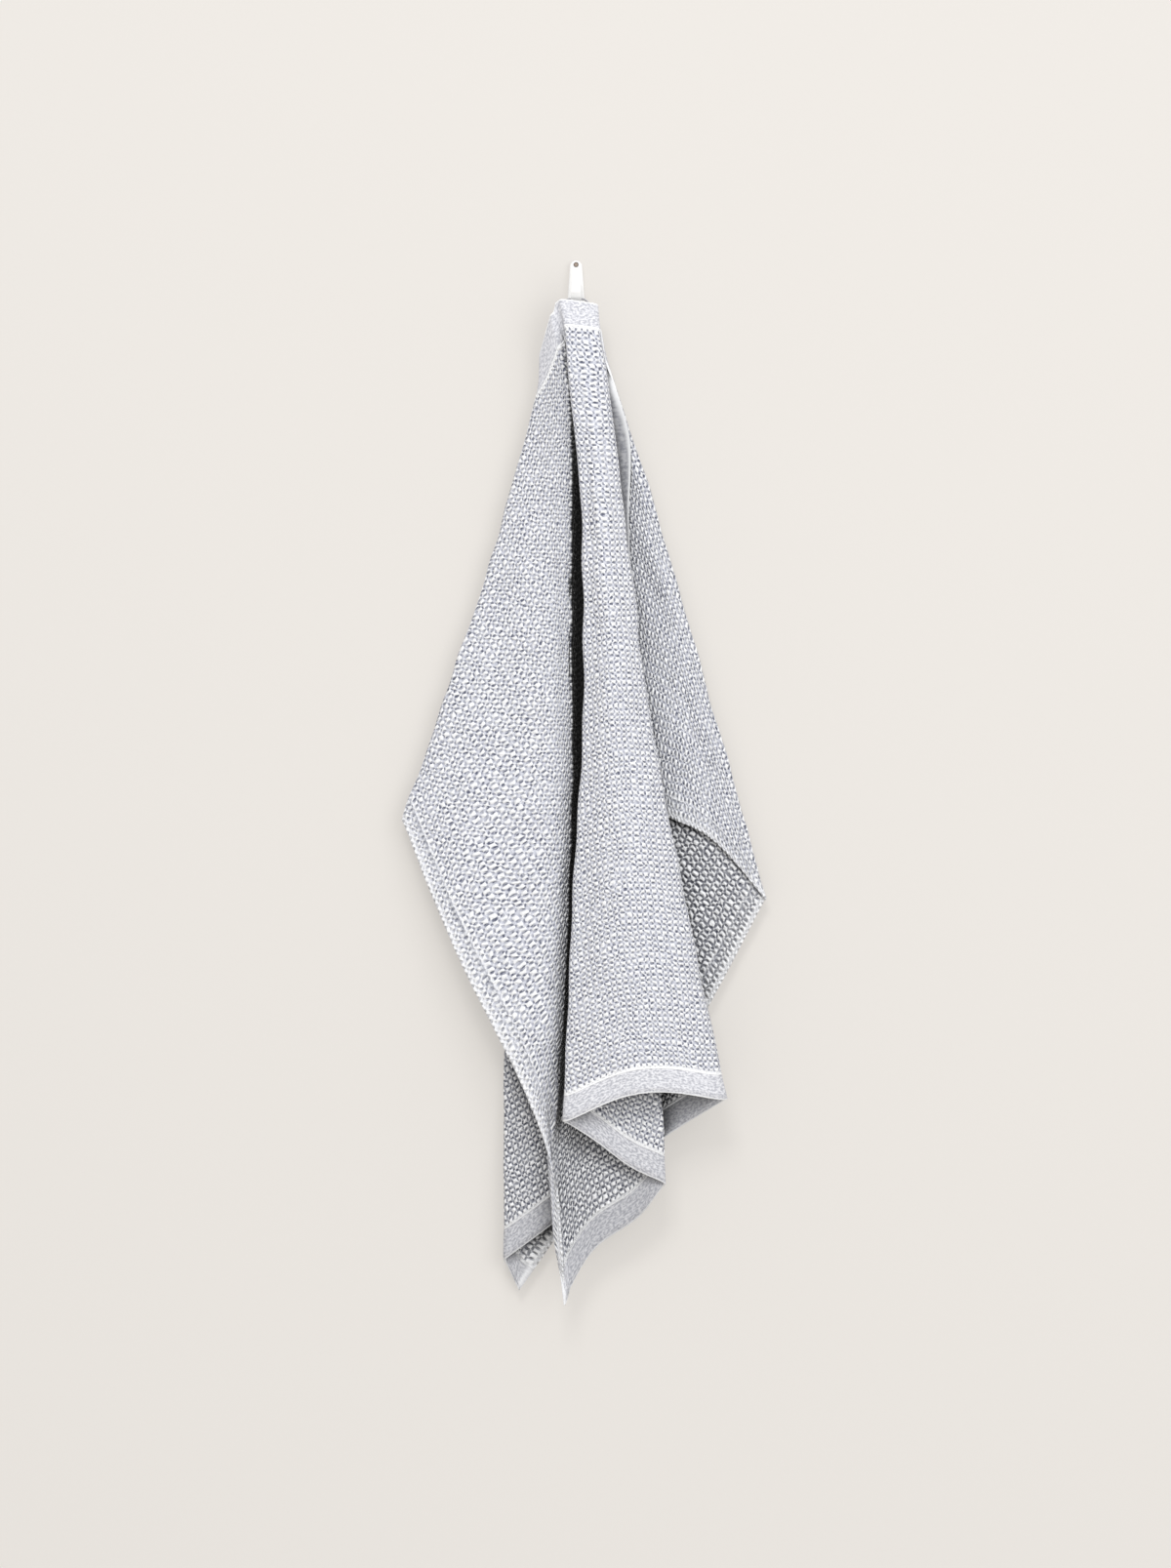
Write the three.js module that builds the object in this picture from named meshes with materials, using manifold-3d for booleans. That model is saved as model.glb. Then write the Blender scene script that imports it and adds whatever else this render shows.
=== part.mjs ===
// A square woven cotton towel that hangs by its tape from a small white wall hook.
// Millimetres. +X is right, +Z is up, and the wall is the plane y = 0, with the room at negative y.
// The origin lies on the flat wall face of the hook, just below the seat that carries the tape.
import * as THREE from "three";
import { mergeVertices } from "three/addons/utils/BufferGeometryUtils.js";
import Module from "manifold-3d";

// Towel
const SIDE = 700; // the square cloth before it is hung
const HALF = SIDE / 2;
const CLOTH_THICKNESS = 2;
const FOLD_REACH = 7; // how far a rounded fold reaches into the panels beside it
const FOLD_SHARE = 0.33; // the most that it takes of a narrow panel
const CORNER_REACH = 1.2;
const FOLDS_OPEN_AT = 0.1; // share of the way down at which every fold is fully formed
const SHUT_REACH = 0.5; // how much of its reach a fold that is still shut is rounded over
const BOW_PLACE = 1.4; // over 1 sets a bow's deepest place lower than halfway
const ROWS = 27; // rows of faces from the hook to the hem
const ROW_CROWDING = 1.25; // over 1 sets the rows closer together near the hook
const STEPS_AT_FOLD = 2;
const STEPS_IN_PANEL = 1;

// Hanging tape
const TAPE = { width: 8, thickness: 1.1, steps: 32, twistEnd: 0.3 };
// The left half of the tape's middle line, from the cloth up to the hook's seat; the right half mirrors it.
const TAPE_LINE = [
  { name: "sewn end", x: -11.5, y: -31.4, z: -19 },
  { name: "top of the stitching", x: -11.5, y: -28, z: -10 },
  { name: "free of the cloth", x: -10.5, y: -21, z: -1 },
  { name: "beside the seat", x: -6.8, y: -16.5, z: 2.95 },
  { name: "over the seat", x: 0, y: -16, z: 2.85 },
];

// Hook
const HOOK = {
  top: 36.5,
  bottom: -24,
  plateThickness: 5,
  plateTopWidth: 10.5,
  plateMiddleWidth: 14.5,
  plateBottomWidth: 13,
  plateMiddle: 4,
  bevel: 1.2,
  seat: 2,
  armUnderside: -7,
  armRoot: -16,
  gapFront: 26,
  front: 33,
  fingerTop: 27,
  fingerTopWidth: 5,
  fingerWidth: 9,
  fingerRound: 4,
  straightFrom: 6, // height above the seat where the front of the finger becomes straight
  armBelly: 3,
  rootOverlap: 2,
  seatRound: 0.6, // share of half the throat that the curve in front of the seat takes
  plateRound: 0.4, // the same for the curve at the plate
};
const SCREW = { height: 33, headRadius: 1.9, headDepth: 1.6, shankRadius: 1.2, proud: 0.5, gap: 0.3 };

// Heights along a fold at which the tables below give its place: share of the way from top edge to hem.
const STATIONS = [0, 0.08, 0.25, 0.5, 0.75, 0.88, 1];

// Each row is a line that runs from the gathered top edge to the edge of the cloth, from left to right.
//   flat: where it starts along the top edge (from the middle), then where it ends on the flat cloth
//         (across from the middle, down from the top edge)
//   curve: 1 for a line that is straight on the flat cloth, more for one that bends outward low down
//   bow: how far it bows across from that course, most at about two thirds of the way down
//   kind: an edge of the cloth, a fold, or the line to a corner of the cloth
//   turn: 1 where the next panel comes forward of this one, -1 where it goes behind
//   round: half the gap between the two panels at a fold
//   z: its height at the top edge and at the hem
//   x: its place across, at the stations
//   depth: its distance from the wall, at the stations
const FOLDS = [
  { name: "left top edge", kind: "edge",
    flat: [-108, -HALF, 0], curve: 1, z: [-78, -310],
    x: [-25, -29, -39, -55, -71, -78, -85], depth: [9, 8.5, 8, 8, 8, 8, 8] },
  { name: "left back pleat", kind: "fold", turn: 1, round: 2.2,
    flat: [-100, -HALF, 100], curve: 1, z: [-70, -340],
    x: [-24, -22, -18, -14, -11, -10, -9], depth: [12, 13, 16, 18, 20, 21, 22] },
  { name: "left outer fold", kind: "fold", turn: 1, round: 2.4,
    flat: [-72, -HALF, 266], curve: 1, z: [-47, -435],
    x: [-31, -33.5, -50.5, -79, -112, -129.5, -146], depth: [17, 15, 13.5, 13, 13, 13.5, 14] },
  { name: "left corner", kind: "corner",
    flat: [-30, -HALF, SIDE], curve: 1, bow: -52, z: [-11, -842],
    x: [-21, -6.5, -4.6, -4.6, -12.8, -21, -10], depth: [33, 35, 37, 38, 40, 41, 42] },
  { name: "gap beside the front", kind: "corner",
    flat: [-25, -331, SIDE], curve: 1, bow: -52, z: [-9, -828],
    x: [-19, -2, -1, -1, -8.5, -16, -5], depth: [33.6, 32.5, 27, 25, 26, 30, 37] },
  { name: "front pleat behind", kind: "fold", turn: 1, round: 2.4,
    flat: [-18, -210, SIDE], curve: 1.25, z: [-1, -740],
    x: [-17, 8, 28, 49, 66, 71, 75], depth: [34, 36, 41, 42, 44, 45, 46] },
  { name: "front panel left", kind: "fold", turn: 1, round: 4.5,
    flat: [-12, -100, SIDE], curve: 1.5, z: [2, -687],
    x: [-12, -6.7, 4.1, 4.8, -3.3, -7.1, -10], depth: [38.5, 46, 51, 55, 57, 58, 58] },
  { name: "front panel right", kind: "fold", turn: -1, round: 7,
    flat: [22, 58, SIDE], curve: 1.5, z: [-2, -669],
    x: [18.5, 25, 39, 59.5, 91, 109, 126], depth: [34, 34, 38, 42, 44, 45, 46] },
  { name: "back left fold", kind: "fold", turn: -1, round: 2.4,
    flat: [33, 313, SIDE], curve: 1, z: [-8, -805],
    x: [14.5, 11, -10, -36, -58, -60, -60], depth: [21, 15, 10.5, 10, 11, 13.5, 16] },
  { name: "right corner", kind: "corner",
    flat: [43.5, HALF, SIDE], curve: 1, z: [-13, -832],
    x: [12.5, 17, 4, -17, -39, -44.5, -48], depth: [11, 9.5, 8, 8, 8, 9, 10] },
  { name: "right outer fold", kind: "fold", turn: 1, round: 2.4,
    flat: [54, HALF, 294], curve: 1, z: [-19, -502],
    x: [20, 29, 55.5, 91.5, 125.5, 143, 159.5], depth: [9.5, 9.5, 10.5, 11.5, 12, 13, 14] },
  { name: "right back pleat", kind: "fold", turn: 1, round: 2.2,
    flat: [82, HALF, 55], curve: 1, z: [-46, -338],
    x: [23.7, 22, 20, 17, 13, 10.5, 8], depth: [16, 18, 15.5, 14, 13.8, 13.8, 14] },
  { name: "right top edge", kind: "edge",
    flat: [88, HALF, 0], curve: 1, z: [-50, -318],
    x: [25, 33.5, 45.5, 44.5, 47, 48, 49], depth: [22.5, 21.5, 19.5, 19, 19, 19, 19] },
];

// The panels between those lines, from left to right.
//   billow: how far the cloth swells forward at a third and two thirds of the way across
//   slip: how far the hem swings across and up from a straight line, at the same two places
const PANELS = [
  { name: "left back inner", billow: [0, 0], slip: [[0, 0], [0, 0]] },
  { name: "left back outer", billow: [0, 0], slip: [[0, 0], [0, 0]] },
  { name: "left", billow: [8, 15], slip: [[6, 4], [42, 0]] },
  { name: "beside the gap", billow: [0, 0], slip: [[0, 0], [0, 0]] },
  { name: "left behind the front", billow: [-8, -4], slip: [[-6, 10], [5, -2]] },
  { name: "front pleat", billow: [0, 0], slip: [[0, -6], [0, 0]] },
  { name: "front", billow: [18, 18], slip: [[0, 17], [0, 15]] },
  { name: "back of the front", billow: [-5, -5], slip: [[0, 8], [0, 0]] },
  { name: "back corner", billow: [0, 0], slip: [[0, 0], [0, 0]] },
  { name: "back right", billow: [0, 0], slip: [[8, 0], [11, -4]] },
  { name: "right flap", billow: [0, 0], slip: [[0, 9], [0, -42]] },
  { name: "right flap inner", billow: [0, 0], slip: [[0, 0], [0, 0]] },
];

// The value at height r of a smooth curve through one value for each station.
function alongStations(values, r) {
  const last = STATIONS.length - 1;
  let i = 0;
  while (i < last - 1 && r > STATIONS[i + 1]) i += 1;
  const slope = (k) => {
    const a = Math.max(k - 1, 0);
    const b = Math.min(k + 1, last);
    return (values[b] - values[a]) / (STATIONS[b] - STATIONS[a]);
  };
  const span = STATIONS[i + 1] - STATIONS[i];
  const t = (r - STATIONS[i]) / span;
  const rise = t * t * (3 - 2 * t);
  const leave = t * (1 - t) * (1 - t) * span * slope(i);
  const arrive = t * t * (t - 1) * span * slope(i + 1);
  return values[i] + (values[i + 1] - values[i]) * rise + leave + arrive;
}

// Where a fold line is at height r: its place in space, and its place on the flat cloth.
function foldPlace(fold, r) {
  const [startAcross, endAcross, endDown] = fold.flat;
  const x = alongStations(fold.x, r);
  const y = -alongStations(fold.depth, r);
  const z = fold.z[0] + (fold.z[1] - fold.z[0]) * r;
  const bowed = (fold.bow ?? 0) * Math.sin(Math.PI * r ** BOW_PLACE);
  const across = startAcross + (endAcross - startAcross) * r ** fold.curve + bowed;
  return { space: new THREE.Vector3(x, y, z), flat: new THREE.Vector2(across, endDown * r) };
}

// The control points around fold line i at height r, from left to right.
function foldControls(i, places, widths, r) {
  const fold = FOLDS[i];
  const here = places[i].space;
  if (fold.kind === "edge") return [here];
  const isFold = fold.kind === "fold";
  const opened = THREE.MathUtils.smoothstep(r, 0, FOLDS_OPEN_AT);
  const gap = isFold ? opened * Math.min(fold.round, FOLD_SHARE * Math.min(widths[i - 1], widths[i])) : 0;
  // A control point beside the line, toward one neighbour; side is 1 in front of the fold and -1 behind it.
  const beside = (neighbour, width, side, share) => {
    const reach = Math.min(isFold ? FOLD_REACH : CORNER_REACH, FOLD_SHARE * width) * share;
    const point = neighbour.space.clone().sub(here).setLength(reach).add(here);
    point.y -= side * gap;
    return point;
  };
  const turn = fold.turn ?? 0;
  const toLeft = (share) => beside(places[i - 1], widths[i - 1], -turn, share);
  const toRight = (share) => beside(places[i + 1], widths[i], turn, share);
  if (!isFold) return [toLeft(1), here, toRight(1)];
  const shut = SHUT_REACH * (1 - opened);
  return [toLeft(1), toLeft(shut), toRight(shut), toRight(1)];
}

// The control points of one section across the cloth at height r, from left to right.
function sectionControls(r) {
  const places = FOLDS.map((fold) => foldPlace(fold, r));
  const widths = PANELS.map((_, i) => places[i].flat.distanceTo(places[i + 1].flat));
  const swell = 1 - (1 - r) ** 3;
  const ends = FOLDS.map((_, i) => foldControls(i, places, widths, r));
  const controls = [...ends[0]];
  PANELS.forEach(({ billow, slip }, i) => {
    const left = ends[i].at(-1);
    const right = ends[i + 1][0];
    slip.forEach(([slipX, slipZ], k) => {
      const moved = new THREE.Vector3(slipX * r * r, -billow[k] * swell, slipZ * r * r);
      controls.push(left.clone().lerp(right, (k + 1) / 3).add(moved));
    });
    controls.push(...ends[i + 1]);
  });
  return controls;
}

// For each span between two control points, how many steps it is drawn in.
function spanSteps() {
  const steps = [];
  FOLDS.forEach((fold, i) => {
    if (fold.kind === "fold") steps.push(STEPS_AT_FOLD, STEPS_AT_FOLD, STEPS_AT_FOLD);
    if (fold.kind === "corner") steps.push(STEPS_IN_PANEL, STEPS_IN_PANEL);
    if (i < PANELS.length) steps.push(STEPS_IN_PANEL, STEPS_IN_PANEL, STEPS_IN_PANEL);
  });
  return steps;
}

// A point of the smooth curve that follows the controls, at share t of span i, as a cubic B-spline.
function splinePoint(controls, i, t) {
  const at = (k) => {
    const last = controls.length - 1;
    if (k < 0) return controls[0].clone().multiplyScalar(2).sub(controls[1]);
    if (k > last) return controls[last].clone().multiplyScalar(2).sub(controls[last - 1]);
    return controls[k];
  };
  const s = 1 - t;
  const weights = [
    s ** 3 / 6,
    (3 * t ** 3 - 6 * t ** 2 + 4) / 6,
    (3 * s ** 3 - 6 * s ** 2 + 4) / 6,
    t ** 3 / 6,
  ];
  const point = new THREE.Vector3();
  weights.forEach((weight, k) => point.addScaledVector(at(i + k - 1), weight));
  return point;
}

function sectionPoints(r) {
  const controls = sectionControls(r);
  const points = [splinePoint(controls, 0, 0)];
  spanSteps().forEach((steps, i) => {
    for (let k = 1; k <= steps; k += 1) points.push(splinePoint(controls, i, k / steps));
  });
  return points;
}

// A closed solid of even thickness from a grid of points: front face, back face and the four edges.
function sheetSolid(rows, thickness) {
  const down = rows.length;
  const across = rows[0].length;
  const normalAt = (i, j) => {
    const alongRow = rows[i][Math.min(j + 1, across - 1)].clone().sub(rows[i][Math.max(j - 1, 0)]);
    const alongColumn = rows[Math.min(i + 1, down - 1)][j].clone().sub(rows[Math.max(i - 1, 0)][j]);
    return alongColumn.cross(alongRow).normalize();
  };
  const positions = [];
  [0.5, -0.5].forEach((side) => {
    rows.forEach((row, i) => {
      row.forEach((point, j) => {
        const moved = point.clone().addScaledVector(normalAt(i, j), side * thickness);
        positions.push(moved.x, moved.y, moved.z);
      });
    });
  });
  const faces = [];
  const front = (i, j) => i * across + j;
  const back = (i, j) => down * across + i * across + j;
  const quad = (a, b, c, d) => faces.push(a, b, c, a, c, d);
  for (let i = 0; i < down - 1; i += 1) {
    for (let j = 0; j < across - 1; j += 1) {
      quad(front(i, j), front(i + 1, j), front(i + 1, j + 1), front(i, j + 1));
      quad(back(i, j), back(i, j + 1), back(i + 1, j + 1), back(i + 1, j));
    }
  }
  for (let j = 0; j < across - 1; j += 1) {
    quad(front(0, j), front(0, j + 1), back(0, j + 1), back(0, j));
    quad(front(down - 1, j + 1), front(down - 1, j), back(down - 1, j), back(down - 1, j + 1));
  }
  for (let i = 0; i < down - 1; i += 1) {
    quad(front(i + 1, 0), front(i, 0), back(i, 0), back(i + 1, 0));
    quad(front(i, across - 1), front(i + 1, across - 1), back(i + 1, across - 1), back(i, across - 1));
  }
  const geometry = new THREE.BufferGeometry();
  geometry.setAttribute("position", new THREE.Float32BufferAttribute(positions, 3));
  geometry.setIndex(faces);
  return geometry;
}

function towelGeometry() {
  const rows = [];
  for (let i = 0; i <= ROWS; i += 1) rows.push(sectionPoints((i / ROWS) ** ROW_CROWDING));
  return sheetSolid(rows, CLOTH_THICKNESS);
}

// The tape is sewn flat to the back of the cloth at both ends, and turns to lie across the seat of the hook.
function tapeGeometry() {
  const left = TAPE_LINE.map(({ x, y, z }) => new THREE.Vector3(x, y, z));
  const right = left.slice(0, -1).reverse().map((p) => new THREE.Vector3(-p.x, p.y, p.z));
  const path = new THREE.CatmullRomCurve3([...left, ...right]);
  const rows = [];
  for (let i = 0; i <= TAPE.steps; i += 1) {
    const t = i / TAPE.steps;
    const fromEnd = Math.min(t, 1 - t);
    const turned = THREE.MathUtils.smoothstep(fromEnd, 0, TAPE.twistEnd) * (Math.PI / 2);
    const side = t < 0.5 ? 1 : -1;
    const across = new THREE.Vector3(Math.cos(turned), side * Math.sin(turned), 0);
    const middle = path.getPoint(t);
    rows.push([-0.5, 0.5].map((s) => middle.clone().addScaledVector(across, s * TAPE.width)));
  }
  return sheetSolid(rows, TAPE.thickness);
}

const wasm = await Module();
wasm.setup();

function solidFrom(geometry) {
  const bare = geometry.index ? geometry.toNonIndexed() : geometry.clone();
  bare.deleteAttribute("normal");
  bare.deleteAttribute("uv");
  const merged = mergeVertices(bare, 1e-4);
  return new wasm.Manifold(
    new wasm.Mesh({
      numProp: 3,
      vertProperties: merged.attributes.position.array,
      triVerts: new Uint32Array(merged.index.array),
    }),
  );
}

function geometryFrom(solid) {
  const mesh = solid.getMesh();
  const geometry = new THREE.BufferGeometry();
  geometry.setAttribute("position", new THREE.BufferAttribute(mesh.vertProperties, 3));
  geometry.setIndex(new THREE.BufferAttribute(mesh.triVerts, 1));
  return geometry.toNonIndexed();
}

// A tapered outline seen from the front, drawn out from the wall as far as depth.
function tapered(widths, heights, depth, bevel) {
  const [topWidth, middleWidth, bottomWidth] = widths;
  const [top, middle, bottom] = heights;
  const shape = new THREE.Shape();
  const round = topWidth / 2;
  shape.moveTo(-bottomWidth / 2 + round, bottom);
  shape.lineTo(bottomWidth / 2 - round, bottom);
  shape.quadraticCurveTo(bottomWidth / 2, bottom, (bottomWidth + middleWidth) / 4, bottom + round);
  shape.lineTo(middleWidth / 2, middle);
  shape.lineTo(topWidth / 2, top - round);
  shape.absarc(0, top - round, round, 0, Math.PI, false);
  shape.lineTo(-middleWidth / 2, middle);
  shape.lineTo(-(bottomWidth + middleWidth) / 4, bottom + round);
  shape.quadraticCurveTo(-bottomWidth / 2, bottom, -bottomWidth / 2 + round, bottom);
  const geometry = new THREE.ExtrudeGeometry(shape, {
    depth: depth - 2 * bevel,
    curveSegments: 8,
    bevelEnabled: bevel > 0,
    bevelThickness: bevel,
    bevelSize: bevel,
    bevelOffset: -bevel,
    bevelSegments: 3,
  });
  return geometry.translate(0, 0, bevel).rotateX(Math.PI / 2);
}

// The arm and its upright finger seen from the side, as wide as the plate.
function armProfile() {
  const { seat, armUnderside, armRoot, armBelly, gapFront, front, fingerTop, fingerRound } = HOOK;
  const plate = HOOK.plateThickness;
  const inside = plate - HOOK.rootOverlap;
  const halfThroat = (gapFront - plate) / 2;
  const frontRound = halfThroat * HOOK.seatRound;
  const backRound = halfThroat * HOOK.plateRound;
  const roundedBack = gapFront + fingerRound / 4;
  const shape = new THREE.Shape();
  shape.moveTo(-inside, armRoot);
  shape.quadraticCurveTo(-(front - fingerRound), armUnderside - armBelly, -front, seat + HOOK.straightFrom);
  shape.lineTo(-(front - 1.5), fingerTop - 2);
  shape.quadraticCurveTo(-(front - 2), fingerTop, -(front - fingerRound), fingerTop);
  shape.quadraticCurveTo(-roundedBack, fingerTop, -roundedBack, fingerTop - 3);
  shape.lineTo(-gapFront, seat + frontRound);
  shape.quadraticCurveTo(-gapFront, seat, -(gapFront - frontRound), seat);
  shape.lineTo(-(plate + backRound), seat);
  shape.quadraticCurveTo(-plate, seat, -plate, seat + backRound);
  shape.lineTo(-inside, seat + backRound);
  shape.closePath();
  return shape;
}

function hookGeometry() {
  const { top, bottom, bevel, plateThickness, plateMiddle } = HOOK;
  const plateOutline = [HOOK.plateTopWidth, HOOK.plateMiddleWidth, HOOK.plateBottomWidth];
  const plate = solidFrom(tapered(plateOutline, [top, plateMiddle, bottom], plateThickness, bevel));
  const wide = HOOK.plateMiddleWidth;
  const drawnOut = { depth: wide, bevelEnabled: false, curveSegments: 8 };
  const side = new THREE.ExtrudeGeometry(armProfile(), drawnOut);
  side.rotateY(Math.PI / 2).rotateX(Math.PI / 2);
  side.translate(-wide / 2, 0, 0);
  const fingerOutline = [HOOK.fingerTopWidth, HOOK.fingerWidth, HOOK.fingerWidth];
  const narrow = tapered(fingerOutline, [HOOK.fingerTop, HOOK.seat, bottom], HOOK.front + 5, 0);
  const arm = solidFrom(side).intersect(solidFrom(narrow));
  const { height, headRadius, headDepth, shankRadius, proud, gap } = SCREW;
  const hole = new THREE.CylinderGeometry(shankRadius + gap, shankRadius + gap, 4 * plateThickness, 24);
  const sink = new THREE.CylinderGeometry(headRadius + gap, headRadius + gap, 2 * plateThickness, 24);
  sink.translate(0, -(plateThickness - headDepth + proud - gap) - plateThickness, 0);
  const cut = solidFrom(hole).add(solidFrom(sink)).translate(0, 0, height);
  return geometryFrom(plate.add(arm).subtract(cut));
}

function screwGeometry() {
  const { headRadius, headDepth, shankRadius, proud, height } = SCREW;
  const faceDepth = HOOK.plateThickness + proud;
  const profile = [
    new THREE.Vector2(0, 0),
    new THREE.Vector2(shankRadius, 0),
    new THREE.Vector2(shankRadius, faceDepth - headDepth),
    new THREE.Vector2(headRadius, faceDepth - headDepth),
    new THREE.Vector2(headRadius, faceDepth - 0.6),
    new THREE.Vector2(headRadius * 0.7, faceDepth),
    new THREE.Vector2(0, faceDepth),
  ];
  const geometry = new THREE.LatheGeometry(profile, 24);
  return geometry.rotateX(Math.PI).translate(0, 0, height);
}

const cotton = new THREE.MeshStandardMaterial({ color: 0xcfd0d8, roughness: 0.95, metalness: 0 });
const twill = new THREE.MeshStandardMaterial({ color: 0xb9bac2, roughness: 0.9, metalness: 0 });
const whitePaint = new THREE.MeshStandardMaterial({ color: 0xf6f6f4, roughness: 0.35, metalness: 0 });
const darkSteel = new THREE.MeshStandardMaterial({ color: 0x6d645e, roughness: 0.4, metalness: 1 });

function piece(name, geometry, material) {
  const mesh = new THREE.Mesh(geometry, material);
  mesh.name = name;
  return mesh;
}

const towelOnHook = new THREE.Group();
towelOnHook.name = "towel_on_hook";
towelOnHook.add(
  piece("towel", towelGeometry(), cotton),
  piece("hanging_tape", tapeGeometry(), twill),
  piece("hook", hookGeometry(), whitePaint),
  piece("screw", screwGeometry(), darkSteel),
);

export default towelOnHook;
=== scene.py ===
"""A square woven cotton towel that hangs by its tape from a small white wall hook.

The sheet hangs in folds that all start at the gathered top edge. Each fold is one row of a table, and the
cloth between two folds is one panel. Tables are in millimetres; what reaches Blender is in metres.
+X is right, +Z is up, and the wall is the plane y = 0, with the room at negative y.
"""

from collections import namedtuple

import bmesh
import bpy
import numpy as np
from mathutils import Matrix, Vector


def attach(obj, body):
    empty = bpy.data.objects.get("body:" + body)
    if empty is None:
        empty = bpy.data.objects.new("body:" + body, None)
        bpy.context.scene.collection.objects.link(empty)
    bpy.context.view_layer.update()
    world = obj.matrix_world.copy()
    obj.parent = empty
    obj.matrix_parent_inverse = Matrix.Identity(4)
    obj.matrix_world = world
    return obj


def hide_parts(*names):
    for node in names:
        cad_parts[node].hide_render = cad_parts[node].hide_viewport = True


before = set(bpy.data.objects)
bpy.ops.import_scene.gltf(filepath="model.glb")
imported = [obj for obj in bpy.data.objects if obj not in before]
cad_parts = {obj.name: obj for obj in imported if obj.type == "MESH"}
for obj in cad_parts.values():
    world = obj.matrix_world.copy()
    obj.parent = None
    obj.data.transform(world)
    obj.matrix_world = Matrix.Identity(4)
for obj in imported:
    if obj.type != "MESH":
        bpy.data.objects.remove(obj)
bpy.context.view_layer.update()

bl_info = {
    "name": "Towel on a wall hook",
    "version": (1, 0, 0),
    "blender": (4, 5, 0),
    "location": "View3D > Sidebar > Towel",
    "description": "Builds a woven cotton towel that hangs in folds from a small wall hook",
    "category": "Object",
}

MM = 0.001
HALF_GREY = (0.5, 0.5, 0.5)
BLACK = (0, 0, 0, 1)
SIDE = 700  # the square cloth before it is hung
HALF = SIDE / 2
BODY = "root"

# Share of the way from the top edge to the hem at which the tables give a fold's place
STATIONS = np.array([0, 0.08, 0.25, 0.5, 0.75, 0.88, 1])

# One row for each line that runs from the gathered top edge to the edge of the cloth, from left to right.
#   flat: where it starts along the top edge, then where it ends on the flat cloth, across and down
#   curve: 1 for a line that is straight on the flat cloth, more for one that bends outward low down
#   bow: how far it bows across from that course, most at about two thirds of the way down
#   turn: 1 where the next panel comes forward of this one, -1 where it goes behind
#   round: half the gap between the two panels at a fold
#   z: its height at the top edge and at the hem; x and depth from the wall: its place at the stations
Fold = namedtuple("Fold", "name kind turn round flat curve z x depth bow", defaults=[0])
FOLDS = [
    Fold("left top edge", "edge", 0, 0, (-108, -HALF, 0), 1, (-78, -310),
         (-25, -29, -39, -55, -71, -78, -85), (9, 8.5, 8, 8, 8, 8, 8)),
    Fold("left back pleat", "fold", 1, 2.2, (-100, -HALF, 100), 1, (-70, -340),
         (-24, -22, -18, -14, -11, -10, -9), (12, 13, 16, 18, 20, 21, 22)),
    Fold("left outer fold", "fold", 1, 2.4, (-72, -HALF, 266), 1, (-47, -435),
         (-31, -33.5, -50.5, -79, -112, -129.5, -146), (17, 15, 13.5, 13, 13, 13.5, 14)),
    Fold("left corner", "corner", 0, 0, (-30, -HALF, SIDE), 1, (-11, -842),
         (-21, -6.5, -4.6, -4.6, -12.8, -21, -10), (33, 35, 37, 38, 40, 41, 42), -52),
    Fold("gap beside the front", "corner", 0, 0, (-25, -331, SIDE), 1, (-9, -828),
         (-19, -2, -1, -1, -8.5, -16, -5), (33.6, 32.5, 27, 25, 26, 30, 37), -52),
    Fold("front pleat behind", "fold", 1, 2.4, (-18, -210, SIDE), 1.25, (-1, -740),
         (-17, 8, 28, 49, 66, 71, 75), (34, 36, 41, 42, 44, 45, 46)),
    Fold("front panel left", "fold", 1, 4.5, (-12, -100, SIDE), 1.5, (2, -687),
         (-12, -6.7, 4.1, 4.8, -3.3, -7.1, -10), (38.5, 46, 51, 55, 57, 58, 58)),
    Fold("front panel right", "fold", -1, 7, (22, 58, SIDE), 1.5, (-2, -669),
         (18.5, 25, 39, 59.5, 91, 109, 126), (34, 34, 38, 42, 44, 45, 46)),
    Fold("back left fold", "fold", -1, 2.4, (33, 313, SIDE), 1, (-8, -805),
         (14.5, 11, -10, -36, -58, -60, -60), (21, 15, 10.5, 10, 11, 13.5, 16)),
    Fold("right corner", "corner", 0, 0, (43.5, HALF, SIDE), 1, (-13, -832),
         (12.5, 17, 4, -17, -39, -44.5, -48), (11, 9.5, 8, 8, 8, 9, 10)),
    Fold("right outer fold", "fold", 1, 2.4, (54, HALF, 294), 1, (-19, -502),
         (20, 29, 55.5, 91.5, 125.5, 143, 159.5), (9.5, 9.5, 10.5, 11.5, 12, 13, 14)),
    Fold("right back pleat", "fold", 1, 2.2, (82, HALF, 55), 1, (-46, -338),
         (23.7, 22, 20, 17, 13, 10.5, 8), (16, 18, 15.5, 14, 13.8, 13.8, 14)),
    Fold("right top edge", "edge", 0, 0, (88, HALF, 0), 1, (-50, -318),
         (25, 33.5, 45.5, 44.5, 47, 48, 49), (22.5, 21.5, 19.5, 19, 19, 19, 19)),
]

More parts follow.
